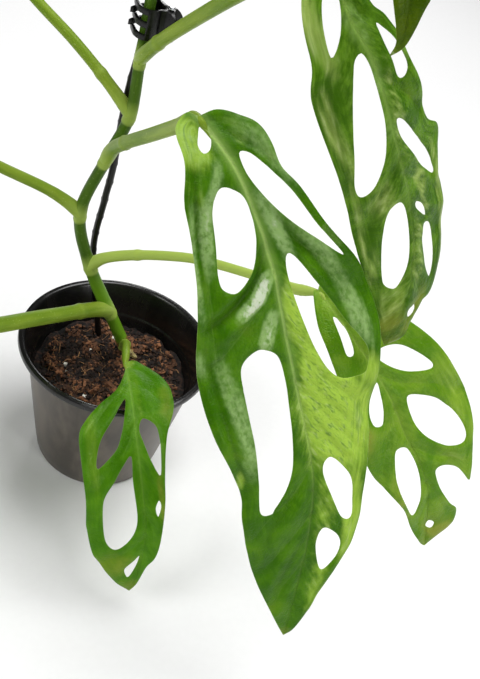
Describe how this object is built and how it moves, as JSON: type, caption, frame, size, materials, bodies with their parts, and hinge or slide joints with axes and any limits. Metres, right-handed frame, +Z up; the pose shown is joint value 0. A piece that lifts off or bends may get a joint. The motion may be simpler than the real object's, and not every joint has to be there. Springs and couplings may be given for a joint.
{
  "type": "potted monstera adansonii",
  "caption": "Climbing house plant with long perforated leaves on arching stalks, staked and clipped, in a round tapered nursery pot that stands on its flat base.",
  "frame": {"origin": "centre of the pot's underside", "axes": "+Z up, the leaves' show side towards -Y"},
  "size_m": [0.3683, 0.2766, 0.4285],
  "materials": {
    "pot_plastic": "dark brown-black polypropylene, injection moulded, semi-gloss",
    "bark_mix": "loose bark, coir and perlite, matt",
    "stem_green": "green living stem, satin",
    "stake_coating": "black plastic coat over a thin rod",
    "clip_plastic": "black injection moulded plastic, glossy",
    "clip_steel": "bright drawn wire",
    "petiole_green": "light green leaf stalk, satin",
    "leaf_green": "glossy leaf, marbled light and dark green",
    "young_green": "rolled young leaf, satin"
  },
  "bodies": {
    "plant": {"pot": "pot_plastic", "potting_mix": "bark_mix", "stem": "stem_green", "stake": "stake_coating", "clip_jaw_fixed": "clip_plastic", "clip_pin": "clip_steel", "clip_spring": "clip_steel", "petiole_1": "petiole_green", "petiole_2": "petiole_green", "petiole_3": "petiole_green", "petiole_4": "petiole_green", "petiole_5": "petiole_green", "petiole_6": "petiole_green", "petiole_7": "petiole_green", "petiole_8": "petiole_green", "petiole_9": "petiole_green", "leaf_1": "leaf_green", "leaf_2": "leaf_green", "leaf_3": "leaf_green", "leaf_4": "leaf_green", "leaf_5": "leaf_green", "leaf_6": "leaf_green", "leaf_7": "leaf_green", "leaf_8": "leaf_green", "leaf_9": "leaf_green", "new_leaf": "young_green"},
    "clip_jaw": {"clip_jaw_moving": "clip_plastic"}
  },
  "joints": [
    {"name": "clip_hinge", "type": "hinge", "parent": "plant", "child": "clip_jaw", "pos_m": [-0.0087, 0.0091, 0.2595], "axis": [0, 0, -1], "range_deg": [0, 28], "stiffness_Nm_per_rad": 0.01, "springref_deg": -28.65}
  ]
}
